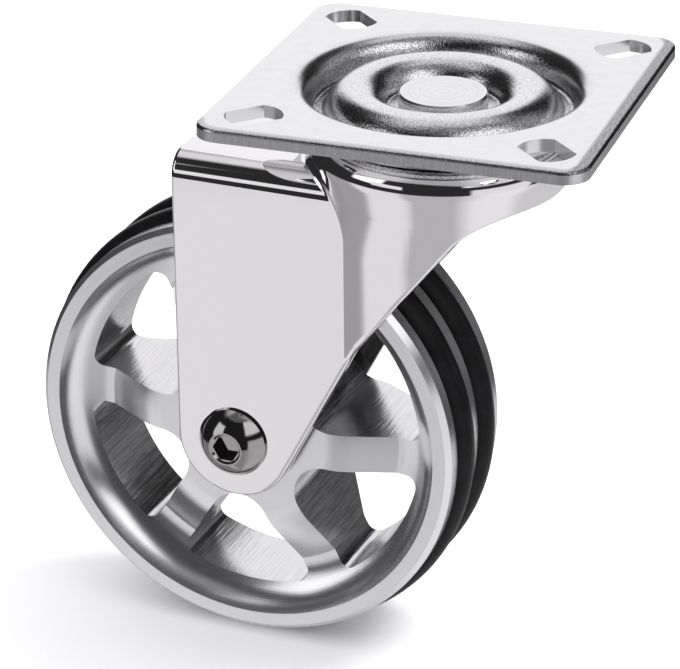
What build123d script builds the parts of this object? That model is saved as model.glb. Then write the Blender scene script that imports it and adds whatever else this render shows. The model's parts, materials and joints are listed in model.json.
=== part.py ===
from build123d import *
from math import atan2, cos, degrees, hypot, radians, sin, tan
import os

# Furniture castor on a square screw-on plate, with a twin-row swivel race, a pressed
# fork and a spoked wheel that runs on two rubber rings. All sizes are in millimetres.
# The origin is the centre of the plate's top face. Z is the swivel axis, pointing up,
# and the wheel trails towards -X. "Near" is the -Y side and "far" is the +Y side.

# Top plate
plate_side = 60.0
plate_gauge = 2.0
plate_corner_radius = 4.0
plate_edge_round = 0.5
hole_spacing = 45.0
hole_length = 8.9
hole_width = 6.3

# Dish pressed into the plate, with a raised ring that forms the upper race
dish_mouth_radius = 21.2
dish_mouth_bend = 3.3
dish_floor_radius = 20.2
dish_floor_bend = 0.8
dish_depth = 4.5
dish_rim_radius = 25.0
ring_crest_depth = 0.35
ring_crest_flat = 0.06
ring_flank_angle = 70.0
inner_floor_depth = 4.0

# Swivel balls, in two full rows
ball_diameter = 5.0
race_clearance = 0.05
groove_ease = 0.1
upper_ball_circle = 13.5
upper_ball_count = 16
lower_ball_circle = 9.3
lower_ball_count = 11

# Kingpin, riveted over the lower cup
kingpin_radius = 5.0
kingpin_end_radius = 4.0
kingpin_head_radius = 6.9
kingpin_head_bevel = 0.25
kingpin_head_height = 2.4
rivet_head_radius = 5.8
rivet_head_height = 2.0
rivet_head_round = 1.2
seat_clearance = 0.02

# Lower race cup
cup_gauge = 1.6
cup_slope = 40.0
cup_hub_bend = 1.8
cup_hub_lift = 1.25
cup_rim_lift = 0.85

# Fork
fork_gauge = 2.2
fork_width = 29.0
shelf_drop = 12.3
shelf_bend = 4.0
crown_clearance = 0.5
crown_boss_radius = 20.7
crown_bend = 3.5
crown_shoulder_bend = 2.5
crown_cone_angle = 16.7
skirt_radius = 18.0
skirt_bend = 25.0
race_slope = 20.0
fork_bore_clearance = 0.4
leg_end_radius = 9.8
leg_edge_angle = 62.6
leg_upper_angle = 52.0
leg_knee_drop = 41.2
leg_knee_bend = 20.0
skirt_edge_drop = 15.2
skirt_edge_bend = 14.0
channel_overrun = 5.0
crease_round = 1.2
sheet_edge_round = 0.7
shortest_edge = 0.01
swivel_at_rest = -3.78

# Axle, clamped through both legs
axle_setback = 30.0
axle_drop = 60.7
sleeve_radius = 4.0
bore_clearance = 0.02
sleeve_end_gap = 0.3
screw_radius = 3.0
screw_length = 12.0
screw_bore_depth = 14.0
screw_end_chamfer = 0.5
head_radius = 5.8
head_height = 3.2
head_rim = 0.5
head_flat_radius = 2.9
socket_across_flats = 4.0
socket_depth = 2.0
socket_rim_radius = 2.6
socket_rim_depth = 0.3
spacer_radius = 5.6
spacer_length = 1.7

# Ball bearings in the wheel's hub
bearing_outer_radius = 8.0
bearing_width = 5.0
bearing_ball_diameter = 2.38
bearing_ball_count = 8
bearing_clearance = 0.04
inner_race_radius = 5.2
outer_race_radius = 6.9
bearing_edge_chamfer = 0.3
shield_seat_radius = 7.15
shield_bore_radius = 5.3
shield_gauge = 0.3
shield_inset = 0.15
cage_gauge = 0.6
cage_width = 3.2

# Wheel
leg_to_ring_gap = 1.0
rim_radius = 36.05
rim_chamfer = 0.87
ring_face_radius = 33.05
groove_curve_radius = 7.0
groove_depth = 5.0
groove_crease_radius = 25.4
hub_cone_angle = 26.6
hub_face_bend = 9.0
hub_bore_radius = 6.6
bearing_inset = 0.1
spoke_count = 6
spoke_width = 6.5
spoke_angle_at_rest = -3.5
window_outer_radius = 29.3
window_outer_bend = 1.8
window_inner_bend = 5.2

# Rubber rings
tyre_section_radius = 3.4
tyre_foot_radius = 34.1
tyre_offset = 4.65
tyre_clearance = 0.05

# Sizes worked out from the ones above
ball_radius = ball_diameter / 2
groove_radius = ball_radius + groove_ease
bearing_ball_radius = bearing_ball_diameter / 2
bearing_pitch_radius = (inner_race_radius + outer_race_radius) / 2
fork_half = fork_width / 2
leg_inner = fork_half - fork_gauge
ring_half = leg_inner - leg_to_ring_gap
wheel_width = 2 * ring_half
groove_half_width = ring_half - groove_depth
bearing_face = leg_inner - spacer_length
hub_half_width = bearing_face + bearing_inset
bearing_back = bearing_face - bearing_width

upper_ball_z = -(ring_crest_depth + plate_gauge + race_clearance + ball_radius)
shoulder_z = -(dish_depth + plate_gauge + crown_clearance)


def rounding_rise(radius, half_turn):
    """How far a rounded corner stays short of its sharp point."""
    return radius * (1 / cos(radians(half_turn)) - 1)


groove_corner_z = (
    upper_ball_z - ball_radius - race_clearance - rounding_rise(groove_radius, race_slope)
)
bulge_corner_z = groove_corner_z + (upper_ball_circle - lower_ball_circle) * tan(radians(race_slope))
bulge_crest_z = bulge_corner_z - rounding_rise(groove_radius + fork_gauge, race_slope)
lower_ball_z = bulge_crest_z - fork_gauge - race_clearance - ball_radius
cup_floor_z = lower_ball_z - groove_radius
cup_hub_z = cup_floor_z + cup_hub_lift
cup_rim_z = lower_ball_z + cup_rim_lift


def closed_section(points, radii):
    """Face inside a closed outline whose corners are rounded by the given radii."""
    return make_face(FilletPolyline(*points, radius=radii, close=True))


def parallel_line(points, radii, gauge):
    """The line one gauge to the right of a bent line, with the matching bend radii."""
    steps = [Vector(*b) - Vector(*a) for a, b in zip(points, points[1:])]
    normals = [Vector(s.Y, -s.X).normalized() for s in steps]
    shifted = [Vector(*points[0]) + normals[0] * gauge]
    for corner, before, after in zip(points[1:], normals, normals[1:]):
        shifted.append(Vector(*corner) + (before + after) * (gauge / (1 + before.dot(after))))
    shifted.append(Vector(*points[-1]) + normals[-1] * gauge)
    turns = [a.cross(b).Z for a, b in zip(steps, steps[1:])]
    bends = [r + gauge if turn > 0 else r - gauge for r, turn in zip(radii, turns)]
    return [(p.X, p.Y) for p in shifted], bends


def pressed_section(points, radii, gauge):
    """Section of a pressed sheet, from its upper line and bend radii."""
    under_points, under_radii = parallel_line(points, radii, gauge)
    outline = points + under_points[::-1]
    return closed_section(outline, [0, *radii, 0, 0, *under_radii[::-1], 0])


def filled_section(points, radii, base_z):
    """Section of all that lies under a bent line, from the axis down to base_z."""
    outline = [(0, base_z), (0, points[0][1])] + points
    return closed_section(outline, [0, 0, 0, *radii, 0])


def turned(section):
    """Solid turned about the swivel axis, from a section drawn as radius and height."""
    return revolve(Plane.XZ * section, Axis.Z)


def turned_on_axle(section):
    """Solid turned about the wheel axis, from a section drawn as radius and offset."""
    return revolve(section, Axis.Y)


def ring_section(inner_radius, outer_radius, low, high):
    """Rectangular section of a ring."""
    return Pos((inner_radius + outer_radius) / 2, (low + high) / 2) * Rectangle(
        outer_radius - inner_radius, high - low
    )


def ball_spots(circle_radius, count):
    """Even places round a circle, each with its X pointing outwards."""
    return list(PolarLocations(circle_radius, count, start_angle=180 / count))


def ball_ring(radius, circle_radius, count, height):
    """A full circle of balls about the swivel axis."""
    return [Pos(0, 0, height) * spot * Sphere(radius) for spot in ball_spots(circle_radius, count)]


# Top plate


def plate_hole():
    """Hole with two flats, its long way towards the plate's centre."""
    flats = Rectangle(hole_length, hole_width)
    return extrude(Circle(hole_length / 2) & flats, amount=plate_gauge, both=True)


def dish_line():
    """Upper line of the dish, from the kingpin out to the flat of the plate."""
    flank_run = 1 / tan(radians(ring_flank_angle))
    crest_bend = groove_radius + plate_gauge
    crest_half = ring_crest_flat / 2 + crest_bend * tan(radians(ring_flank_angle / 2))
    inner_foot = crest_half + (inner_floor_depth - ring_crest_depth) * flank_run
    outer_foot = crest_half + (dish_depth - ring_crest_depth) * flank_run
    points = [
        (kingpin_radius + seat_clearance, -inner_floor_depth),
        (upper_ball_circle - inner_foot, -inner_floor_depth),
        (upper_ball_circle - crest_half, -ring_crest_depth),
        (upper_ball_circle + crest_half, -ring_crest_depth),
        (upper_ball_circle + outer_foot, -dish_depth),
        (dish_floor_radius, -dish_depth),
        (dish_mouth_radius, 0),
        (dish_rim_radius, 0),
    ]
    radii = [dish_floor_bend, crest_bend, crest_bend, dish_floor_bend, dish_floor_bend, dish_mouth_bend]
    return points, radii


def make_top_plate():
    """Square plate with its dished centre and four holes."""
    blank = extrude(RectangleRounded(plate_side, plate_side, plate_corner_radius), amount=-plate_gauge)
    blank = fillet(blank.edges().group_by(Axis.Z)[-1], plate_edge_round)
    blank -= Cylinder(dish_rim_radius, 3 * plate_gauge)
    plate = blank + turned(pressed_section(*dish_line(), plate_gauge))
    for spot in GridLocations(hole_spacing, hole_spacing, 2, 2):
        towards_centre = degrees(atan2(spot.position.Y, spot.position.X))
        plate -= spot * Rot(0, 0, towards_centre) * plate_hole()
    return plate


# Swivel race


def cup_line():
    """Upper line of the lower race cup, from its hub out to its rim."""
    floor_start = lower_ball_circle - groove_radius * tan(radians(cup_slope / 2))
    hub_end = floor_start - cup_hub_lift / tan(radians(cup_slope))
    wall = lower_ball_circle + groove_radius + ring_crest_flat
    points = [
        (kingpin_end_radius + seat_clearance, cup_hub_z),
        (hub_end, cup_hub_z),
        (floor_start, cup_floor_z),
        (wall, cup_floor_z),
        (wall, cup_rim_z),
    ]
    return points, [cup_hub_bend, groove_radius, groove_radius]


def make_lower_race_cup():
    """Pressed cup that carries the lower row of balls."""
    return turned(pressed_section(*cup_line(), cup_gauge))


def make_kingpin():
    """Headed pin with a shoulder for the cup and a riveted lower end."""
    head_top = -inner_floor_depth + kingpin_head_height
    rivet_top = cup_hub_z - cup_gauge
    rivet_end = rivet_top - rivet_head_height
    outline = [
        (0, head_top),
        (kingpin_head_radius - kingpin_head_bevel, head_top),
        (kingpin_head_radius, head_top - kingpin_head_bevel),
        (kingpin_head_radius, -inner_floor_depth),
        (kingpin_radius, -inner_floor_depth),
        (kingpin_radius, cup_hub_z),
        (kingpin_end_radius, cup_hub_z),
        (kingpin_end_radius, rivet_top),
        (rivet_head_radius, rivet_top),
        (rivet_head_radius, rivet_end),
        (0, rivet_end),
    ]
    radii = [0] * 9 + [rivet_head_round, 0]
    return turned(closed_section(outline, radii))


# Fork


def crown_line():
    """Outer line of the crown: race grooves, shoulder, round boss and skirt."""
    start = kingpin_radius - 1
    slope = tan(radians(race_slope))
    groove_end = upper_ball_circle + (shoulder_z - groove_corner_z) / slope
    boss_turn = (90 + crown_cone_angle) / 2
    boss_corner = crown_boss_radius - crown_bend + crown_bend * tan(radians(boss_turn))
    cone_end = shoulder_z - (boss_corner - skirt_radius) / tan(radians(crown_cone_angle))
    points = [
        (start, bulge_corner_z - (lower_ball_circle - start) * slope),
        (lower_ball_circle, bulge_corner_z),
        (upper_ball_circle, groove_corner_z),
        (groove_end, shoulder_z),
        (boss_corner, shoulder_z),
        (skirt_radius, cone_end),
        (skirt_radius, -axle_drop),
    ]
    radii = [groove_radius + fork_gauge, groove_radius, crown_shoulder_bend, crown_bend, skirt_bend]
    return points, radii


def channel(half_width, top_z, bend):
    """Inverted channel that runs from behind the fork into the crown."""
    base_z = -axle_drop - 2 * leg_end_radius
    outline = [(-half_width, base_z), (-half_width, top_z), (half_width, top_z), (half_width, base_z)]
    section = closed_section(outline, [0, bend, bend, 0])
    rear = axle_setback + 2 * leg_end_radius
    return extrude(Plane.YZ.offset(-rear) * section, amount=rear + channel_overrun)


def with_creases(crown, legs, crease_radius):
    """Crown and legs as one body, with a rounded crease where the sheet turns between them."""
    joined = crown + legs
    meeting_lines = new_edges(crown, legs, combined=joined)
    return fillet([e for e in meeting_lines if e.center().X < -skirt_radius / 2], crease_radius)


def side_outline():
    """The fork as seen from the side: rear edge, round leg end, knee and skirt edge."""
    turn = radians(leg_edge_angle)
    upper_run = 1 / tan(radians(leg_upper_angle))
    rear_x = -axle_setback - leg_end_radius
    foot_x = -axle_setback + leg_end_radius * tan(turn / 2)
    foot_z = -axle_drop - leg_end_radius
    knee_x = foot_x + (-leg_knee_drop - foot_z) / tan(turn)
    front_x = knee_x + (leg_knee_drop - skirt_edge_drop) * upper_run
    reach = 2 * crown_boss_radius
    outline = [
        (rear_x, 0),
        (rear_x, foot_z),
        (foot_x, foot_z),
        (knee_x, -leg_knee_drop),
        (front_x, -skirt_edge_drop),
        (reach, -skirt_edge_drop),
        (reach, 0),
    ]
    end_round = leg_end_radius - 0.001
    section = closed_section(outline, [0, end_round, end_round, leg_knee_bend, skirt_edge_bend, 0, 0])
    return extrude(Plane.XZ * section, amount=fork_width, both=True)


def make_fork():
    """Fork pressed from one sheet: crown with both race grooves, shelf, skirt and legs."""
    line, radii = crown_line()
    under_line, under_radii = parallel_line(line, radii, fork_gauge)
    base_z = -axle_drop
    crown = turned(filled_section(line, radii, base_z - fork_gauge))
    legs = channel(fork_half, -shelf_drop, shelf_bend)
    outside = with_creases(crown, legs, crease_round)
    under_crown = turned(filled_section(under_line, under_radii, base_z - 2 * fork_gauge))
    between_legs = channel(leg_inner, -shelf_drop - fork_gauge, shelf_bend - fork_gauge)
    inside = with_creases(under_crown, between_legs, crease_round + fork_gauge)
    outline = side_outline()
    blank = outside & outline
    cut_edges = [e for e in new_edges(outside, outline, combined=blank) if e.length > shortest_edge]
    fork = fillet(cut_edges, sheet_edge_round) - inside
    fork -= Cylinder(kingpin_radius + fork_bore_clearance, 4 * shelf_drop)
    axle_hole = Cylinder(sleeve_radius + bore_clearance, 2 * fork_width, rotation=(90, 0, 0))
    return fork - Pos(-axle_setback, 0, -axle_drop) * axle_hole


# Axle


def button_head():
    """Domed head on the +Y side of its seat, with a hexagon socket."""
    rise = head_radius**2 - head_flat_radius**2 + head_rim**2 - head_height**2
    dome_centre = rise / (2 * (head_rim - head_height))
    dome_radius = hypot(head_radius, head_rim - dome_centre)
    dome_start = degrees(atan2(head_rim - dome_centre, head_radius))
    dome_end = degrees(atan2(head_height - dome_centre, head_flat_radius))
    outline = Curve() + [
        Polyline((0, head_height), (0, 0), (head_radius, 0), (head_radius, head_rim)),
        CenterArc((0, dome_centre), dome_radius, dome_start, dome_end - dome_start),
        Line((head_flat_radius, head_height), (0, head_height)),
    ]
    head = turned_on_axle(make_face(outline))
    top = Plane.XZ.offset(-head_height)
    hexagon = RegularPolygon(socket_across_flats / 2, 6, major_radius=False)
    head -= extrude(top * hexagon, amount=socket_depth)
    inner_rim = socket_rim_radius - socket_rim_depth
    rim = Cone(inner_rim, socket_rim_radius, socket_rim_depth, align=(Align.CENTER, Align.CENTER, Align.MAX))
    return head - Pos(0, head_height, 0) * Rot(-90, 0, 0) * rim


def make_axle_sleeve():
    """Far head and the sleeve that the bearings sit on, bored for the screw."""
    near_end = -fork_half + sleeve_end_gap
    sleeve = turned_on_axle(ring_section(0, sleeve_radius, near_end, fork_half))
    sleeve -= turned_on_axle(
        ring_section(0, screw_radius + bore_clearance, near_end, near_end + screw_bore_depth)
    )
    return sleeve + Pos(0, fork_half, 0) * button_head()


def make_axle_screw():
    """Near head and its shank, which clamps the legs on the sleeve."""
    shank_end = -fork_half + screw_length
    outline = [
        (0, -fork_half),
        (screw_radius, -fork_half),
        (screw_radius, shank_end - screw_end_chamfer),
        (screw_radius - screw_end_chamfer, shank_end),
        (0, shank_end),
    ]
    shank = turned_on_axle(closed_section(outline, [0] * 5))
    return shank + Pos(0, -fork_half, 0) * Rot(180, 0, 0) * button_head()


def make_axle_spacer():
    """Washer-like spacer between the far leg and its bearing."""
    return turned_on_axle(
        ring_section(sleeve_radius + bore_clearance, spacer_radius, bearing_face, leg_inner)
    )


def make_spacer_tube():
    """Tube that keeps the two inner rings apart."""
    return turned_on_axle(
        ring_section(sleeve_radius + bore_clearance, inner_race_radius, -bearing_back, bearing_back)
    )


# Bearings, each made for the far side


def race_groove():
    """Ring that the balls run in, with their clearance, about the wheel axis."""
    middle = (bearing_face + bearing_back) / 2
    groove = Pos(bearing_pitch_radius, middle) * Circle(bearing_ball_radius + bearing_clearance)
    return turned_on_axle(groove)


def make_bearing_inner():
    """Inner ring with its groove."""
    ring = turned_on_axle(
        ring_section(sleeve_radius + bore_clearance, inner_race_radius, bearing_back, bearing_face)
    )
    return ring - race_groove()


def make_bearing_outer():
    """Outer ring with its groove and the two seats for the shields."""
    outer_radius = bearing_outer_radius
    section = ring_section(outer_race_radius, outer_radius, bearing_back, bearing_face)
    section = chamfer(section.vertices().group_by(Axis.X)[-1], bearing_edge_chamfer)
    seat_depth = shield_inset + shield_gauge
    for low in (bearing_back, bearing_face - seat_depth):
        section -= ring_section(outer_race_radius, shield_seat_radius, low, low + seat_depth)
    return turned_on_axle(section) - race_groove()


def make_bearing_shields():
    """Two thin shields, pressed into the outer ring."""
    outer = bearing_face - shield_inset
    inner = bearing_back + shield_inset
    spans = [(outer - shield_gauge, outer), (inner, inner + shield_gauge)]
    return [turned_on_axle(ring_section(shield_bore_radius, shield_seat_radius, *span)) for span in spans]


def make_bearing_balls():
    """Ring of balls about the wheel axis."""
    middle = (bearing_face + bearing_back) / 2
    balls = ball_ring(bearing_ball_radius, bearing_pitch_radius, bearing_ball_count, 0)
    return [Pos(0, middle, 0) * Rot(90, 0, 0) * ball for ball in balls]


def make_bearing_cage():
    """Cage ring with a round pocket for each ball."""
    middle = (bearing_face + bearing_back) / 2
    ring = turned_on_axle(
        ring_section(
            bearing_pitch_radius - cage_gauge / 2,
            bearing_pitch_radius + cage_gauge / 2,
            middle - cage_width / 2,
            middle + cage_width / 2,
        )
    )
    pocket = Cylinder(bearing_ball_radius + bearing_clearance, 4 * cage_gauge, rotation=(0, 90, 0))
    for spot in ball_spots(bearing_pitch_radius, bearing_ball_count):
        ring -= Pos(0, middle, 0) * Rot(90, 0, 0) * spot * pocket
    return ring


# Wheel


def rim_section():
    """Far half of the wheel's section, without the channel and the window."""
    cone = tan(radians(hub_cone_angle))
    cone_start = groove_crease_radius - (hub_half_width - groove_half_width) / cone
    curve_centre_y = groove_half_width + groove_curve_radius
    wall_reach = curve_centre_y - ring_half
    curve_centre_x = ring_face_radius - (groove_curve_radius**2 - wall_reach**2) ** 0.5
    face = FilletPolyline(
        (0, hub_half_width),
        (cone_start, hub_half_width),
        (groove_crease_radius, groove_half_width),
        radius=[hub_face_bend],
    )
    crease = Line((groove_crease_radius, groove_half_width), (curve_centre_x, groove_half_width))
    wall_angle = degrees(atan2(-wall_reach, ring_face_radius - curve_centre_x))
    wall = CenterArc((curve_centre_x, curve_centre_y), groove_curve_radius, -90, wall_angle + 90)
    rim = Polyline(
        (ring_face_radius, ring_half),
        (rim_radius - rim_chamfer, ring_half),
        (rim_radius, ring_half - rim_chamfer),
        (rim_radius, 0),
        (0, 0),
        (0, hub_half_width),
    )
    return make_face(Curve() + [face, crease, wall, rim])


def tyre_channel():
    """Flat-bottomed channel that the far rubber ring sits in."""
    width = 2 * (tyre_section_radius + tyre_clearance)
    floor_radius = tyre_foot_radius - tyre_clearance
    top_radius = rim_radius + 1
    opening = Rectangle(top_radius - floor_radius, width)
    return Pos((floor_radius + top_radius) / 2, tyre_offset) * opening


def window():
    """One opening between two parallel-sided spokes, cut right through."""
    half_angle = 180 / spoke_count
    apex = spoke_width / 2 / sin(radians(half_angle))
    reach = 2 * window_outer_radius
    spread = (reach - apex) * tan(radians(half_angle))
    wedge = make_face(Polyline((apex, 0), (reach, spread), (reach, -spread), (apex, 0)))
    opening = wedge & Circle(window_outer_radius)
    corners = opening.vertices().sort_by(Axis.X)
    opening = fillet(corners[0], window_inner_bend)
    corners = opening.vertices().sort_by(Axis.X)
    opening = fillet(corners[-2:], window_outer_bend)
    return extrude(Plane.XZ * opening, amount=wheel_width, both=True)


def make_wheel_rim():
    """Aluminium wheel: hub with two bearing seats, spokes, turned ring and two channels."""
    seat_radius = bearing_outer_radius + bore_clearance
    half = rim_section() - tyre_channel()
    half -= ring_section(0, hub_bore_radius, 0, wheel_width)
    half -= ring_section(0, seat_radius, bearing_back, wheel_width)
    blank = turned_on_axle(half + mirror(half, Plane.XZ))
    step = 360 / spoke_count
    angles = [spoke_angle_at_rest + (number + 0.5) * step for number in range(spoke_count)]
    return blank - [Rot(0, -angle, 0) * window() for angle in angles]


def make_tyre():
    """Far rubber ring, half round on a flat foot."""
    round_section = Circle(tyre_section_radius)
    above_foot = Pos(tyre_section_radius, 0) * Rectangle(2 * tyre_section_radius, 2 * tyre_section_radius)
    return turned_on_axle(Pos(tyre_foot_radius, tyre_offset) * (round_section & above_foot))


def as_list(shape):
    """The solids of a piece, whether it is one or several."""
    return shape if isinstance(shape, list) else [shape]


def mirrored(shape):
    """The near twin of a far piece."""
    return [mirror(solid, Plane.XZ) for solid in as_list(shape)]


swing = Rot(0, 0, swivel_at_rest)
wheel_place = swing * Pos(-axle_setback, 0, -axle_drop)

plate_pieces = {
    "top_plate": make_top_plate(),
    "kingpin": make_kingpin(),
    "lower_race_cup": make_lower_race_cup(),
    "upper_balls": ball_ring(ball_radius, upper_ball_circle, upper_ball_count, upper_ball_z),
    "lower_balls": ball_ring(ball_radius, lower_ball_circle, lower_ball_count, lower_ball_z),
}
paired_pieces = {
    "axle_spacer": make_axle_spacer(),
    "bearing_inner": make_bearing_inner(),
    "bearing_outer": make_bearing_outer(),
    "bearing_shields": make_bearing_shields(),
    "bearing_balls": make_bearing_balls(),
    "bearing_cage": make_bearing_cage(),
    "tyre": make_tyre(),
}
wheel_pieces = {
    "axle_sleeve": make_axle_sleeve(),
    "axle_screw": make_axle_screw(),
    "spacer_tube": make_spacer_tube(),
    "wheel_rim": make_wheel_rim(),
}
for name, piece in paired_pieces.items():
    wheel_pieces[name + "_far"] = piece
    wheel_pieces[name + "_near"] = mirrored(piece)

os.makedirs("parts", exist_ok=True)
nodes = {name: (piece, Pos(0, 0, 0)) for name, piece in plate_pieces.items()}
nodes["fork"] = (make_fork(), swing)
nodes.update({name: (piece, wheel_place) for name, piece in wheel_pieces.items()})
for name, (piece, place) in nodes.items():
    solids = [place * solid for solid in as_list(piece)]
    export_step(solids[0] if len(solids) == 1 else Compound(solids), f"parts/{name}.step")
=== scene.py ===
import json
import math

import bpy
from mathutils import Matrix, Vector


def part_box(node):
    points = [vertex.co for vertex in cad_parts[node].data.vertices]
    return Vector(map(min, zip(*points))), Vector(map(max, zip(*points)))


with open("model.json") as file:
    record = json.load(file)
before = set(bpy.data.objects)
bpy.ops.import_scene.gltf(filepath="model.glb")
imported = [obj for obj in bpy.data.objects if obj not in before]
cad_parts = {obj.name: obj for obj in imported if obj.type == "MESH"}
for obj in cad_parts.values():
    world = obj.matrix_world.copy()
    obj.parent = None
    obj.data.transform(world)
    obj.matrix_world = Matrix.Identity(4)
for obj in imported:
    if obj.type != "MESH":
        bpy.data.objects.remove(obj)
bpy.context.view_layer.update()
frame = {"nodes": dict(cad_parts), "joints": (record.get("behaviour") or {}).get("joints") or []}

bl_info = {
    "name": "Swivel Castor Finishes",
    "version": (1, 0, 0),
    "blender": (4, 5, 0),
    "location": "View3D > Sidebar > Castor",
    "description": "Finishes and stage for a swivel castor on a screw-on plate",
    "category": "Object",
}

# The swivel axis is Z, the plate's top face is at Z = 0, and the front is -Y. Materials read
# places in millimetres, and objects and the stage are placed in metres.
MM = 1000.0
JOINTS = {joint["name"]: joint for joint in frame["joints"]}
WHEEL_CENTRE = Vector(JOINTS["wheel_spin"]["pos_m"])
AXLE_LINE = Vector(JOINTS["wheel_spin"]["axis"])
FORK_TURN = math.atan2(-AXLE_LINE.x, AXLE_LINE.y)
FLOOR_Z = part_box("tyre_near")[0].z

# Zones of the plate and the kingpin's head, in millimetres
PLATE_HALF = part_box("top_plate")[1].x * MM
PLATE_CORNER = 4.0
PIN_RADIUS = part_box("kingpin")[1].x * MM
PIN_FACE_EDGE = PIN_RADIUS - 0.1
PRESSED_FROM = PIN_RADIUS + 1.5
PRESSED_TO = 23.0
LEVEL_ABOVE = -0.8
SHEARED_BOTTOM = -2.2
SHEARED_TOP = -0.5
SHEARED_INSET = -0.12
# Band of painted shade and deeper grain along the plate's right and near edges, in millimetres
SHADED_RIGHT_EDGE = 27.0
SHADED_NEAR_EDGE = 25.5
SHADED_EDGE_INSET = -0.1
SHADED_EDGE_WIDTH = 1.9
# How strong the painted shade on the near edge is next to the right one, and how far the grain
# fades where the sheet is level
NEAR_EDGE_SHADE = 0.6
LEVEL_FADE = 0.7

# How deep each kind of mark is in the zinc, as a share of the grain's depth
ZINC_MARKS = {"darkened": 0.8, "level": 0.06, "sheared": 0.7, "turned": 0.25}
# How dark each kind of mark is in the zinc, from 0 to 1; the darkened edge band is painted shade
ZINC_SHADES = {"pits": 0.5, "darkened": 0.42, "turned": 0.08}
# How much each kind of surface adds to the zinc's roughness
ZINC_ROUGHNESS = {"base": 0.2, "mottled": 0.06, "sheared": 0.12, "pressed": -0.09}
# Tones of the zinc's darker places, as a share of its own colour
ZINC_TONES = {"mottled": 0.96, "sheared": 0.72, "pitted": 0.06}
# Streaks to the millimetre along X, Y and Z on the sheared edge
SHEARED_STREAKS = (3.4, 3.4, 0.45)

# The wheel's windows lie between these radii, in millimetres
HUB_EDGE = 8.4
WINDOW_EDGE = 29.6
# Tones of the aluminium's darker places, as a share of its own colour; the second is the painted
# shade on the window walls
ALLOY_TONES = {"clouded": 0.96, "drawn_and_shaded": 0.08}
# Marks to the millimetre along X, Y and Z on the window walls, how much deeper they are than the
# turning marks, and how much smoother the walls are
DRAWN_MARKS = (2.4, 0.1, 2.4)
DRAWN_DEPTH = 5.0
DRAWN_SMOOTHNESS = 0.08

# Tones of the other finishes' second colours, as a share of their own
CHROME_HAZE = 0.985
HEAD_WEAR = 0.9
GRINDING_TONE = 0.92
RUBBER_BLOOM = 1.8

# Lowest and highest roughness of each finish
ALLOY_ROUGHNESS = (0.19, 0.27)
CHROME_ROUGHNESS = (0.008, 0.018)
HEAD_ROUGHNESS = (0.06, 0.10)
RUBBER_ROUGHNESS = (0.3, 0.4)
GRINDING_ROUGHNESS = (0.16, 0.24)

# Depths of the finer marks, in metres
CHROME_RIPPLE = 0.00001
ALLOY_MARKS = 0.000012
RUBBER_PORES = 0.000006
HEAD_RIPPLE = 0.000008
GRINDING_MARKS = 0.000005

# The camera was fitted to a picture of this width in pixels
PICTURE_WIDTH = 680
SENSOR_WIDTH = 36.0
CLIP_NEAR = 0.01
CLIP_FAR = 20.0

# Reach of the paper floor from the swivel axis, in metres, as the camera sees it
FLOOR_REACH = {"front": 0.27, "back": 1.6, "left": 0.27, "right": 0.9}
PAPER_TINT = (1.0, 0.995, 1.0)

# Panels of the studio that bright metal shows. Each has the azimuth of its middle, counted from
# the front to the right, its half width, its low and high rise above the horizon and the softness
# of its edges, all in degrees, and its level, where 1 is white.
PANELS = {
    "overhead behind": dict(azimuth=-150, half_width=90, low=59, high=100, soft=20, level=0.80),
    "back board": dict(azimuth=-160, half_width=22, low=-30, high=61, soft=10, level=1.0),
    "far right board": dict(azimuth=122, half_width=16, low=-8, high=50, soft=12, level=0.34),
    "right soft box": dict(azimuth=66, half_width=30, low=20, high=58, soft=8, level=1.30),
    "left strip light": dict(azimuth=-49, half_width=14, low=2, high=37, soft=5, level=1.25),
    "low front strip": dict(azimuth=-30, half_width=14, low=-3, high=11, soft=3, level=0.85),
    "low right board": dict(azimuth=68, half_width=27, low=-26, high=4, soft=6, level=0.80),
}
# Pools of light and shade on the floor, which reach from straight below to the horizon
FLOOR_POOLS = {
    "left pool": dict(azimuth=-45, half_width=23, low=-100, high=0, soft=16, level=0.80),
    "right pool": dict(azimuth=80, half_width=34, low=-100, high=0, soft=40, level=0.86),
    "back pool": dict(azimuth=138, half_width=36, low=-100, high=0, soft=30, level=0.64),
    "left shade": dict(azimuth=-92, half_width=19, low=-100, high=0, soft=16, level=0.36),
}
# What is seen between the panels: dark walls, a ceiling that is a little lighter above its rise,
# and the floor below its own
WALL_LEVEL = 0.025
CEILING = dict(rise=58.5, soft=3.0, level=0.20)
FLOOR = dict(rise=-21.0, soft=4.0, level=0.49)
STUDIO_TINT = (1.0, 0.985, 1.005)
FILL_TINT = (1.0, 1.0, 1.02)

# The soft lamp, in metres
LAMP_SPOT = Vector((0.35, 0.25, 0.65))
LAMP_AIM = Vector((-0.02, 0.0, -0.05))
LAMP_SIZE = 0.5


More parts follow.
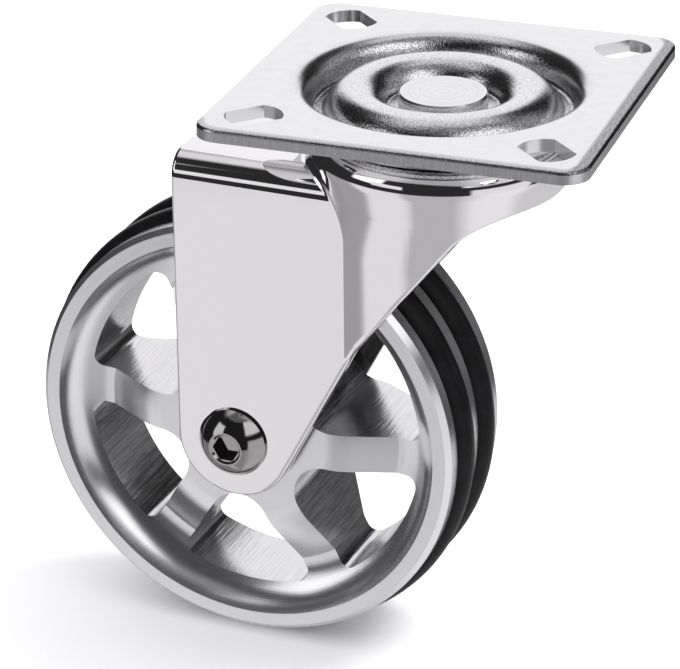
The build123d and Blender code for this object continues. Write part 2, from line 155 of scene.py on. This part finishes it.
class CastorFinishes(bpy.types.PropertyGroup):
    """Colours and grain of the castor's finishes."""

    zinc: bpy.props.FloatVectorProperty(
        name="Zinc",
        description="Colour of the plate's zinc coat",
        subtype="COLOR",
        size=3,
        min=0.0,
        max=1.0,
        default=(0.86, 0.865, 0.875),
    )
    chrome: bpy.props.FloatVectorProperty(
        name="Chrome",
        description="Colour of the fork's chrome",
        subtype="COLOR",
        size=3,
        min=0.0,
        max=1.0,
        default=(0.90, 0.89, 0.90),
    )
    alloy: bpy.props.FloatVectorProperty(
        name="Alloy",
        description="Colour of the wheel's bare aluminium",
        subtype="COLOR",
        size=3,
        min=0.0,
        max=1.0,
        default=(0.91, 0.91, 0.925),
    )
    dark_chrome: bpy.props.FloatVectorProperty(
        name="Dark chrome",
        description="Colour of the axle's polished heads",
        subtype="COLOR",
        size=3,
        min=0.0,
        max=1.0,
        default=(0.42, 0.41, 0.405),
    )
    bearing_steel: bpy.props.FloatVectorProperty(
        name="Bearing steel",
        description="Colour of the balls, rings and spacers",
        subtype="COLOR",
        size=3,
        min=0.0,
        max=1.0,
        default=(0.60, 0.60, 0.61),
    )
    rubber: bpy.props.FloatVectorProperty(
        name="Rubber",
        description="Colour of the two running rings",
        subtype="COLOR",
        size=3,
        min=0.0,
        max=1.0,
        default=(0.008, 0.008, 0.009),
    )
    grain_depth: bpy.props.FloatProperty(
        name="Grain depth",
        description="Depth of the grain in the plate's pressed zones",
        subtype="DISTANCE",
        unit="LENGTH",
        min=0.0,
        max=0.0005,
        default=0.00005,
    )


class CastorStage(bpy.types.PropertyGroup):
    """Camera, floor and light of the studio."""

    camera_turn: bpy.props.FloatProperty(
        name="Camera turn",
        description="Angle round the swivel axis from the front",
        subtype="ANGLE",
        default=math.radians(19.097),
    )
    camera_rise: bpy.props.FloatProperty(
        name="Camera rise",
        description="Angle above the horizon",
        subtype="ANGLE",
        default=math.radians(25.323),
    )
    camera_roll: bpy.props.FloatProperty(
        name="Camera roll",
        description="Tilt of the picture's sides",
        subtype="ANGLE",
        default=math.radians(-0.363),
    )
    camera_distance: bpy.props.FloatProperty(
        name="Camera distance",
        description="Distance from the point that the camera looks at",
        subtype="DISTANCE",
        unit="LENGTH",
        default=0.48125,
    )
    camera_target: bpy.props.FloatVectorProperty(
        name="Camera target",
        description="Point that the camera looks at",
        subtype="TRANSLATION",
        unit="LENGTH",
        size=3,
        default=(-0.016955, 0.0, -0.045269),
    )
    focal_length_pixels: bpy.props.FloatProperty(
        name="Focal length",
        description="Focal length in pixels of a picture 680 pixels wide",
        default=2995.6,
    )
    floor_colour: bpy.props.FloatVectorProperty(
        name="Floor",
        description="Colour of the paper floor as the metal sees it",
        subtype="COLOR",
        size=3,
        min=0.0,
        max=1.0,
        default=(0.76, 0.75, 0.765),
    )
    paper_white: bpy.props.FloatProperty(
        name="Paper white",
        description="Whiteness of the floor as the camera sees it",
        min=0.0,
        default=1.6,
    )
    lamp_power: bpy.props.FloatProperty(
        name="Lamp power",
        description="Power of the soft lamp behind and to the right",
        unit="POWER",
        min=0.0,
        default=3.0,
    )
    fill_level: bpy.props.FloatProperty(
        name="Fill level",
        description="Even light from all round on matt surfaces",
        min=0.0,
        default=0.72,
    )


class Wire:
    """A value in a node tree, with the arithmetic that a maker of finishes needs."""

    def __init__(self, bench, socket):
        self.bench = bench
        self.socket = socket

    def _sum(self, operation, *values):
        inputs = dict(enumerate(values))
        return self.bench.add("ShaderNodeMath", {"operation": operation}, inputs)

    def __add__(self, other):
        return self._sum("ADD", self, other)

    __radd__ = __add__

    def __mul__(self, other):
        return self._sum("MULTIPLY", self, other)

    __rmul__ = __mul__

    def __sub__(self, other):
        return self._sum("SUBTRACT", self, other)

    def __rsub__(self, other):
        return self._sum("SUBTRACT", other, self)

    def __truediv__(self, other):
        return self._sum("DIVIDE", self, other)

    def __rtruediv__(self, other):
        return self._sum("DIVIDE", other, self)

    def __pow__(self, other):
        return self._sum("POWER", self, other)

    def __rpow__(self, other):
        return self._sum("POWER", other, self)

    def __neg__(self):
        return self._sum("MULTIPLY", self, -1.0)

    def __abs__(self):
        return self._sum("ABSOLUTE", self)

    def root(self):
        """Square root."""
        return self._sum("SQRT", self)

    def least(self, other):
        """The smaller of two values."""
        return self._sum("MINIMUM", self, other)

    def most(self, other):
        """The larger of two values."""
        return self._sum("MAXIMUM", self, other)

    def above(self, edge, soft):
        """0 below the edge and 1 above it, with a smooth step of that softness."""
        settings = {"interpolation_type": "SMOOTHSTEP"}
        ends = {"Value": self, "From Min": edge - soft / 2, "From Max": edge + soft / 2}
        return self.bench.add("ShaderNodeMapRange", settings, ends)

    def between(self, low, high, soft):
        """1 between two edges and 0 outside them."""
        return self.above(low, soft) * (1 - self.above(high, soft))

    def spread(self, span=(0.0, 1.0), to=(0.0, 1.0)):
        """The value's span stretched to a new span, and held at its ends."""
        ends = {"Value": self, "From Min": span[0], "From Max": span[1]}
        new_ends = {"To Min": to[0], "To Max": to[1]}
        return self.bench.add("ShaderNodeMapRange", None, {**ends, **new_ends})


class Bench:
    """A node tree under construction."""

    def __init__(self, tree):
        self.tree = tree
        tree.nodes.clear()

    def add(self, kind, settings=None, inputs=None, output=0):
        """Adds a node, sets it up, fills its sockets, and returns one of its outputs."""
        node = self.tree.nodes.new(kind)
        for name, value in (settings or {}).items():
            setattr(node, name, value)
        for name, value in (inputs or {}).items():
            if isinstance(value, Wire):
                self.tree.links.new(value.socket, node.inputs[name])
            else:
                node.inputs[name].default_value = value
        return Wire(self, node.outputs[output]) if len(node.outputs) else None

    def place(self, centre=(0, 0, 0), turn=0.0):
        """Where a point of the piece is, in millimetres from a centre, turned about Z."""
        coordinates = self.add("ShaderNodeTexCoord", output="Object")
        both = {0: coordinates, 1: tuple(centre)}
        moved = self.add("ShaderNodeVectorMath", {"operation": "SUBTRACT"}, both)
        turned = {"Vector": moved, "Rotation": (0, 0, -turn), "Scale": (MM, MM, MM)}
        return self.add("ShaderNodeMapping", {"vector_type": "POINT"}, turned)

    def parts(self, vector):
        """A vector's three values."""
        split = self.add("ShaderNodeSeparateXYZ", None, {"Vector": vector})
        outputs = split.socket.node.outputs
        return [Wire(self, outputs[axis]) for axis in "XYZ"]

    def joined(self, x, y, z):
        """A vector from three values."""
        return self.add("ShaderNodeCombineXYZ", None, {"X": x, "Y": y, "Z": z})

    def stretched(self, vector, scale):
        """A vector with each axis scaled."""
        both = {0: vector, 1: scale}
        return self.add("ShaderNodeVectorMath", {"operation": "MULTIPLY"}, both)

    def noise(self, vector, per_mm, detail, roughness):
        """Soft random values from 0 to 1, so many to the millimetre."""
        inputs = {"Vector": vector, "Scale": per_mm, "Detail": detail, "Roughness": roughness}
        return self.add("ShaderNodeTexNoise", None, inputs)

    def blended(self, share, first, second):
        """One colour mixed into another."""
        inputs = {0: share, 6: self.colour(first), 7: self.colour(second)}
        return self.add("ShaderNodeMix", {"data_type": "RGBA"}, inputs, output=2)

    @staticmethod
    def colour(value):
        """A colour with its alpha, or a link left as it is."""
        return value if isinstance(value, Wire) else (*value, 1.0)

    def bumped(self, height, depth):
        """A normal tilted by a height from 0 to 1, of a depth in metres."""
        inputs = {"Height": height, "Distance": depth, "Strength": 1.0}
        return self.add("ShaderNodeBump", None, inputs)


def finish(name, recipe):
    """Makes a material from a recipe, which returns the sockets of its surface."""
    material = bpy.data.materials.new(name)
    material.use_nodes = True
    bench = Bench(material.node_tree)
    surface = bench.add("ShaderNodeBsdfPrincipled", None, recipe(bench))
    bench.add("ShaderNodeOutputMaterial", None, {"Surface": surface})
    return material


def coat(nodes, material):
    """Gives CAD nodes their finish."""
    for name in nodes:
        piece = frame["nodes"][name]
        piece.data.materials.clear()
        piece.data.materials.append(material)


def toned(colour, share):
    """A colour at a share of its brightness."""
    return [value * share for value in colour]


def swivel_frame(bench):
    """Place on the plate: the vector, the radius from the swivel axis, and X, Y and Z."""
    spot = bench.place()
    x, y, z = bench.parts(spot)
    return spot, (x * x + y * y).root(), x, y, z


def wheel_frame(bench):
    """Place on the wheel: the vector, the radius from the axle, and how far along it."""
    spot = bench.place(WHEEL_CENTRE, FORK_TURN)
    x, along, z = bench.parts(spot)
    return spot, (x * x + z * z).root(), along


def plate_inset(x, y):
    """How far out a point of the plate is, in millimetres, from below 0 to 0 at the cut edge."""
    start = PLATE_HALF - PLATE_CORNER
    across = abs(x) - start
    along = abs(y) - start
    corner = (across.most(0.0) ** 2 + along.most(0.0) ** 2).root()
    return corner + across.most(along).least(0.0) - PLATE_CORNER


def zinc_recipe(colours):
    """Satin zinc, grainy where the sheet was pressed, with painted shade and deeper grain along its
    right and near edges, and streaked where it was sheared."""

    def recipe(bench):
        spot, radius, x, y, z = swivel_frame(bench)
        grain = bench.noise(spot, per_mm=3.6, detail=2.0, roughness=0.6)
        mottle = bench.noise(spot, per_mm=0.45, detail=3.0, roughness=0.6)
        downwards = bench.stretched(spot, SHEARED_STREAKS)
        streaks = bench.noise(downwards, per_mm=1.0, detail=3.0, roughness=0.7)
        outwards = bench.joined(radius, 0.0, 0.0)
        turning = bench.noise(outwards, per_mm=1.6, detail=2.0, roughness=0.6)

        level = z.above(LEVEL_ABOVE, soft=1.0)
        dished = radius.between(PRESSED_FROM, PRESSED_TO, soft=2.0)
        pressed = dished * (1 - level * LEVEL_FADE)
        pin_face = 1 - radius.above(PIN_FACE_EDGE, soft=0.3)
        inset = plate_inset(x, y)
        side = z.between(SHEARED_BOTTOM, SHEARED_TOP, soft=0.15)
        sheared = inset.above(SHEARED_INSET, soft=0.1) * side
        # Painted shade along the right edge and, more faintly, the near edge, standing in for the
        # dark reflection of a rolled edge; the grain is deeper there too
        near_edge_shade = (-y).above(SHADED_NEAR_EDGE, soft=2.0) * NEAR_EDGE_SHADE
        mark_share = x.above(SHADED_RIGHT_EDGE, soft=3.0).most(near_edge_shade)
        darkened = inset.above(SHADED_EDGE_INSET - mark_share * SHADED_EDGE_WIDTH, soft=1.0) * mark_share * (1 - sheared)

        height = grain * (pressed + darkened * ZINC_MARKS["darkened"] + ZINC_MARKS["level"])
        height = height + streaks * sheared * ZINC_MARKS["sheared"]
        height = height + turning * pin_face * ZINC_MARKS["turned"]

        pits = grain.spread((0.40, 0.56), to=(1.0, 0.0))
        rings = turning.spread((0.45, 0.65), to=(0.0, ZINC_SHADES["turned"]))
        # Dark grain pits in the pressed zone and the edge band, and painted shade over the whole
        # edge band
        shade = (pressed + darkened) * ZINC_SHADES["pits"] * pits + darkened * ZINC_SHADES["darkened"]
        shade = shade + pin_face * rings
        mottled, cut, pitted = [toned(colours.zinc, share) for share in ZINC_TONES.values()]
        plain = bench.blended(mottle.spread((0.35, 0.65)), mottled, colours.zinc)
        shaded = bench.blended(shade, plain, pitted)
        dull = bench.blended(streaks.spread((0.3, 0.7)), cut, plain)

        roughness = mottle * ZINC_ROUGHNESS["mottled"] + ZINC_ROUGHNESS["base"]
        roughness = roughness + sheared * ZINC_ROUGHNESS["sheared"]
        roughness = roughness + pressed * ZINC_ROUGHNESS["pressed"]
        return {
            "Base Color": bench.blended(sheared, shaded, dull),
            "Metallic": 1.0,
            "Roughness": roughness,
            "Normal": bench.bumped(height, colours.grain_depth),
        }

    return recipe


def chrome_recipe(colours):
    """Bright chrome with a very faint ripple."""

    def recipe(bench):
        spot = bench.place()
        ripple = bench.noise(spot, per_mm=0.12, detail=2.0, roughness=0.5)
        haze = bench.noise(spot, per_mm=0.6, detail=3.0, roughness=0.6)
        return {
            "Base Color": bench.blended(haze, toned(colours.chrome, CHROME_HAZE), colours.chrome),
            "Metallic": 1.0,
            "Roughness": haze.spread(to=CHROME_ROUGHNESS),
            "Normal": bench.bumped(ripple, CHROME_RIPPLE),
        }

    return recipe


def alloy_recipe(colours):
    """Aluminium with turning marks round the axle, draw marks along the window walls, and painted
    shade on the walls that face up.
    """

    def recipe(bench):
        spot, radius, along = wheel_frame(bench)
        turned_lines = bench.joined(radius, along * 0.2, 0.0)
        turning = bench.noise(turned_lines, per_mm=7.0, detail=2.0, roughness=0.6)
        drawn_lines = bench.stretched(spot, DRAWN_MARKS)
        drawn_and_shaded = bench.noise(drawn_lines, per_mm=1.0, detail=3.0, roughness=0.7)
        cloud = bench.noise(spot, per_mm=0.25, detail=2.0, roughness=0.5)

        normal = bench.add("ShaderNodeTexCoord", output="Normal")
        turned = {"Vector": normal, "Rotation": (0, 0, -FORK_TURN)}
        facing = bench.add("ShaderNodeMapping", {"vector_type": "NORMAL"}, turned)
        outward, up = bench.parts(facing)[1:]
        upright = 1 - abs(outward).above(0.12, soft=0.1)
        wall = upright * radius.between(HUB_EDGE, WINDOW_EDGE, soft=0.2)
        marks = turning * (1 - wall) + drawn_and_shaded * wall * DRAWN_DEPTH

        # Painted shade on the window walls, streaked by the draw marks: the walls that face up are
        # painted darkest, apart from those that are nearly level
        painted_wall_shade = up.spread((0.2, 0.65), to=(0.3, 0.75)) * (1 - up.above(0.95, soft=0.08) * 0.8)
        shaded = wall * painted_wall_shade * drawn_and_shaded.spread((0.36, 0.62), to=(1.15, 0.45))
        clouded, dark = [toned(colours.alloy, share) for share in ALLOY_TONES.values()]
        bright = bench.blended(cloud, clouded, colours.alloy)
        return {
            "Base Color": bench.blended(shaded, bright, dark),
            "Metallic": 0.94,
            "Roughness": turning.spread(to=ALLOY_ROUGHNESS) - wall * DRAWN_SMOOTHNESS,
            "Normal": bench.bumped(marks, ALLOY_MARKS),
        }

    return recipe


def rubber_recipe(colours):
    """Smooth dull black rubber."""

    def recipe(bench):
        spot = bench.place(WHEEL_CENTRE, FORK_TURN)
        bloom = bench.noise(spot, per_mm=0.3, detail=3.0, roughness=0.6)
        pores = bench.noise(spot, per_mm=5.0, detail=2.0, roughness=0.6)
        share = bloom.spread((0.4, 0.7))
        pale = toned(colours.rubber, RUBBER_BLOOM)
        return {
            "Base Color": bench.blended(share, colours.rubber, pale),
            "Metallic": 0.0,
            "Specular IOR Level": 0.12,
            "Roughness": bloom.spread(to=RUBBER_ROUGHNESS),
            "Normal": bench.bumped(pores, RUBBER_PORES),
        }

    return recipe


def dark_chrome_recipe(colours):
    """Dark polished chrome with faint wear."""

    def recipe(bench):
        spot = bench.place()
        mark_share = bench.noise(spot, per_mm=0.8, detail=3.0, roughness=0.6)
        ripple = bench.noise(spot, per_mm=1.5, detail=2.0, roughness=0.5)
        darkened = toned(colours.dark_chrome, HEAD_WEAR)
        return {
            "Base Color": bench.blended(mark_share, darkened, colours.dark_chrome),
            "Metallic": 1.0,
            "Roughness": mark_share.spread(to=HEAD_ROUGHNESS),
            "Normal": bench.bumped(ripple, HEAD_RIPPLE),
        }

    return recipe


def bearing_recipe(colours):
    """Ground steel."""

    def recipe(bench):
        radius, along = wheel_frame(bench)[1:]
        ground_lines = bench.joined(radius, along, 0.0)
        grinding = bench.noise(ground_lines, per_mm=9.0, detail=2.0, roughness=0.5)
        dark = toned(colours.bearing_steel, GRINDING_TONE)
        return {
            "Base Color": bench.blended(grinding, dark, colours.bearing_steel),
            "Metallic": 1.0,
            "Roughness": grinding.spread(to=GRINDING_ROUGHNESS),
            "Normal": bench.bumped(grinding, GRINDING_MARKS),
        }

    return recipe


class CASTOR_OT_coat_plate(bpy.types.Operator):
    """Gives the plate, kingpin and race cup their zinc."""

    bl_idname = "castor.coat_plate"
    bl_label = "Coat the Plate"

    def execute(self, context):
        material = finish("zinc_plate", zinc_recipe(context.scene.castor_finishes))
        coat(["top_plate", "kingpin", "lower_race_cup"], material)
        return {"FINISHED"}


class CASTOR_OT_coat_fork(bpy.types.Operator):
    """Gives the fork its chrome."""

    bl_idname = "castor.coat_fork"
    bl_label = "Coat the Fork"

    def execute(self, context):
        material = finish("chrome_fork", chrome_recipe(context.scene.castor_finishes))
        coat(["fork"], material)
        return {"FINISHED"}


class CASTOR_OT_coat_axle(bpy.types.Operator):
    """Gives the axle's two heads their dark chrome."""

    bl_idname = "castor.coat_axle"
    bl_label = "Coat the Axle"

    def execute(self, context):
        material = finish("axle_steel", dark_chrome_recipe(context.scene.castor_finishes))
        coat(["axle_sleeve", "axle_screw"], material)
        return {"FINISHED"}


class CASTOR_OT_coat_bearings(bpy.types.Operator):
    """Gives the balls, bearings and spacers their ground steel."""

    bl_idname = "castor.coat_bearings"
    bl_label = "Coat the Bearings"

    def execute(self, context):
        material = finish("bearing_steel", bearing_recipe(context.scene.castor_finishes))
        names = ["upper_balls", "lower_balls", "spacer_tube"]
        for side in ("far", "near"):
            names.append(f"axle_spacer_{side}")
            for part in ("inner", "outer", "shields", "balls", "cage"):
                names.append(f"bearing_{part}_{side}")
        coat(names, material)
        return {"FINISHED"}


class CASTOR_OT_coat_wheel(bpy.types.Operator):
    """Gives the wheel its turned aluminium."""

    bl_idname = "castor.coat_wheel"
    bl_label = "Coat the Wheel"

    def execute(self, context):
        material = finish("wheel_alloy", alloy_recipe(context.scene.castor_finishes))
        coat(["wheel_rim"], material)
        return {"FINISHED"}


class CASTOR_OT_coat_rings(bpy.types.Operator):
    """Gives the two running rings their rubber."""

    bl_idname = "castor.coat_rings"
    bl_label = "Coat the Rubber Rings"

    def execute(self, context):
        material = finish("ring_rubber", rubber_recipe(context.scene.castor_finishes))
        coat(["tyre_far", "tyre_near"], material)
        return {"FINISHED"}


def add_camera(stage):
    """Camera that looks down at the castor from the front and a little to the right."""
    turn, rise, roll = stage.camera_turn, stage.camera_rise, stage.camera_roll
    level = math.cos(rise)
    back = Vector((math.sin(turn) * level, -math.cos(turn) * level, math.sin(rise)))
    right = Vector((math.cos(turn), math.sin(turn), 0.0))
    up = back.cross(right)
    picture_right = right * math.cos(roll) + up * math.sin(roll)
    picture_up = up * math.cos(roll) - right * math.sin(roll)
    data = bpy.data.cameras.new("camera")
    camera = bpy.data.objects.new("camera", data)
    bpy.context.scene.collection.objects.link(camera)
    axes = Matrix((picture_right, picture_up, back)).transposed()
    spot = Vector(stage.camera_target) + back * stage.camera_distance
    camera.matrix_world = Matrix.Translation(spot) @ axes.to_4x4()
    data.sensor_width = SENSOR_WIDTH
    data.lens = stage.focal_length_pixels * SENSOR_WIDTH / PICTURE_WIDTH
    data.clip_start = CLIP_NEAR
    data.clip_end = CLIP_FAR
    bpy.context.scene.camera = camera


def add_floor(stage):
    """Paper floor that keeps the castor's shadow and is white to the camera."""
    bpy.ops.object.select_all(action="DESELECT")
    bpy.ops.mesh.primitive_plane_add(size=1.0, location=(0, 0, FLOOR_Z))
    floor = bpy.context.active_object
    floor.name = "floor"
    front = Vector((math.sin(stage.camera_turn), -math.cos(stage.camera_turn), 0.0))
    side = Vector((math.cos(stage.camera_turn), math.sin(stage.camera_turn), 0.0))
    corners = [("left", "back"), ("right", "back"), ("left", "front"), ("right", "front")]
    for vertex, (across, depth) in zip(floor.data.vertices, corners):
        sideways = side * FLOOR_REACH[across] * (1 if across == "right" else -1)
        spot = sideways + front * FLOOR_REACH[depth] * (1 if depth == "front" else -1)
        vertex.co = Vector((spot.x, spot.y, 0.0))
    material = bpy.data.materials.new("paper")
    material.use_nodes = True
    bench = Bench(material.node_tree)
    seen = bench.add("ShaderNodeLightPath", output="Is Camera Ray")
    white = toned(PAPER_TINT, stage.paper_white)
    colour = bench.blended(seen, stage.floor_colour, white)
    surface = bench.add("ShaderNodeBsdfDiffuse", None, {"Color": colour})
    bench.add("ShaderNodeOutputMaterial", None, {"Surface": surface})
    floor.data.materials.append(material)
    floor.visible_glossy = False


def add_world(stage):
    """Studio round the castor: dark walls with a few bright panels, and a floor with soft pools."""
    world = bpy.data.worlds.new("studio")
    world.use_nodes = True
    bpy.context.scene.world = world
    bench = Bench(world.node_tree)
    direction = bench.add("ShaderNodeTexCoord", output="Generated")
    x, y, z = bench.parts(direction)
    rise = bench.add("ShaderNodeMath", {"operation": "ARCSINE"}, {0: z}) * (180 / math.pi)
    flat = (x * x + y * y).root().most(0.0001)

    def within(panel):
        """Share of a soft-edged panel in what is seen in this direction."""
        angle = math.radians(panel["azimuth"])
        towards = (x * math.sin(angle) - y * math.cos(angle)) / flat
        inner = math.cos(math.radians(panel["half_width"] - panel["soft"] / 2))
        outer = math.cos(math.radians(panel["half_width"] + panel["soft"] / 2))
        across = towards.above((inner + outer) / 2, soft=inner - outer)
        return across * rise.between(panel["low"], panel["high"], panel["soft"])

    def lit(level, panels):
        """A level with panels laid over it in order, each at its own level."""
        for panel in panels.values():
            level = level + within(panel) * (panel["level"] - level)
        return level

    ceiling = rise.above(CEILING["rise"], CEILING["soft"]) * CEILING["level"]
    walls = lit(ceiling + WALL_LEVEL, PANELS)
    floor = lit(FLOOR["level"], FLOOR_POOLS)
    floor_share = 1 - rise.above(FLOOR["rise"], FLOOR["soft"])
    grey = walls + floor_share * (floor - walls)
    studio = bench.joined(*[grey * share for share in STUDIO_TINT])
    path = bench.add("ShaderNodeLightPath", output="Is Diffuse Ray")
    seen = Wire(bench, path.socket.node.outputs["Is Camera Ray"])
    light = bench.blended(path, studio, toned(FILL_TINT, stage.fill_level))
    shown = bench.blended(seen, light, (1.0, 1.0, 1.0))
    surface = bench.add("ShaderNodeBackground", None, {"Color": shown, "Strength": 1.0})
    bench.add("ShaderNodeOutputWorld", None, {"Surface": surface})


def add_lamp(stage):
    """Large soft lamp above, behind and to the right."""
    data = bpy.data.lights.new("soft_lamp", "AREA")
    data.shape = "DISK"
    data.size = LAMP_SIZE
    data.energy = stage.lamp_power
    lamp = bpy.data.objects.new("soft_lamp", data)
    bpy.context.scene.collection.objects.link(lamp)
    lamp.location = LAMP_SPOT
    lamp.rotation_mode = "QUATERNION"
    lamp.rotation_quaternion = (LAMP_SPOT - LAMP_AIM).to_track_quat("Z", "Y")
    lamp.visible_glossy = False


class CASTOR_OT_set_stage(bpy.types.Operator):
    """Sets up the camera, the paper floor, the studio and its lamp."""

    bl_idname = "castor.set_stage"
    bl_label = "Set the Stage"

    def execute(self, context):
        stage = context.scene.castor_stage
        add_camera(stage)
        add_floor(stage)
        add_world(stage)
        add_lamp(stage)
        context.scene.view_settings.view_transform = "Standard"
        return {"FINISHED"}


class CASTOR_PT_panel(bpy.types.Panel):
    """Lists the castor's operators and their settings."""

    bl_idname = "CASTOR_PT_panel"
    bl_label = "Castor"
    bl_space_type = "VIEW_3D"
    bl_region_type = "UI"
    bl_category = "Castor"

    def draw(self, context):
        layout = self.layout
        for operator in OPERATORS:
            layout.operator(operator.bl_idname)
        for settings in (context.scene.castor_finishes, context.scene.castor_stage):
            for name in settings.__annotations__:
                layout.prop(settings, name)


OPERATORS = (
    CASTOR_OT_coat_plate,
    CASTOR_OT_coat_fork,
    CASTOR_OT_coat_axle,
    CASTOR_OT_coat_bearings,
    CASTOR_OT_coat_wheel,
    CASTOR_OT_coat_rings,
    CASTOR_OT_set_stage,
)
CLASSES = (CastorFinishes, CastorStage, *OPERATORS, CASTOR_PT_panel)


def register():
    """Registers the classes and gives the scene their settings."""
    for each in CLASSES:
        bpy.utils.register_class(each)
    bpy.types.Scene.castor_finishes = bpy.props.PointerProperty(type=CastorFinishes)
    bpy.types.Scene.castor_stage = bpy.props.PointerProperty(type=CastorStage)


def unregister():
    """Takes the settings and the classes out again."""
    del bpy.types.Scene.castor_stage
    del bpy.types.Scene.castor_finishes
    for each in reversed(CLASSES):
        bpy.utils.unregister_class(each)


def main():
    """Coats the castor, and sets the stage."""
    register()
    bpy.ops.castor.coat_plate()
    bpy.ops.castor.coat_fork()
    bpy.ops.castor.coat_axle()
    bpy.ops.castor.coat_bearings()
    bpy.ops.castor.coat_wheel()
    bpy.ops.castor.coat_rings()
    bpy.ops.castor.set_stage()


if __name__ == "__main__":
    main()
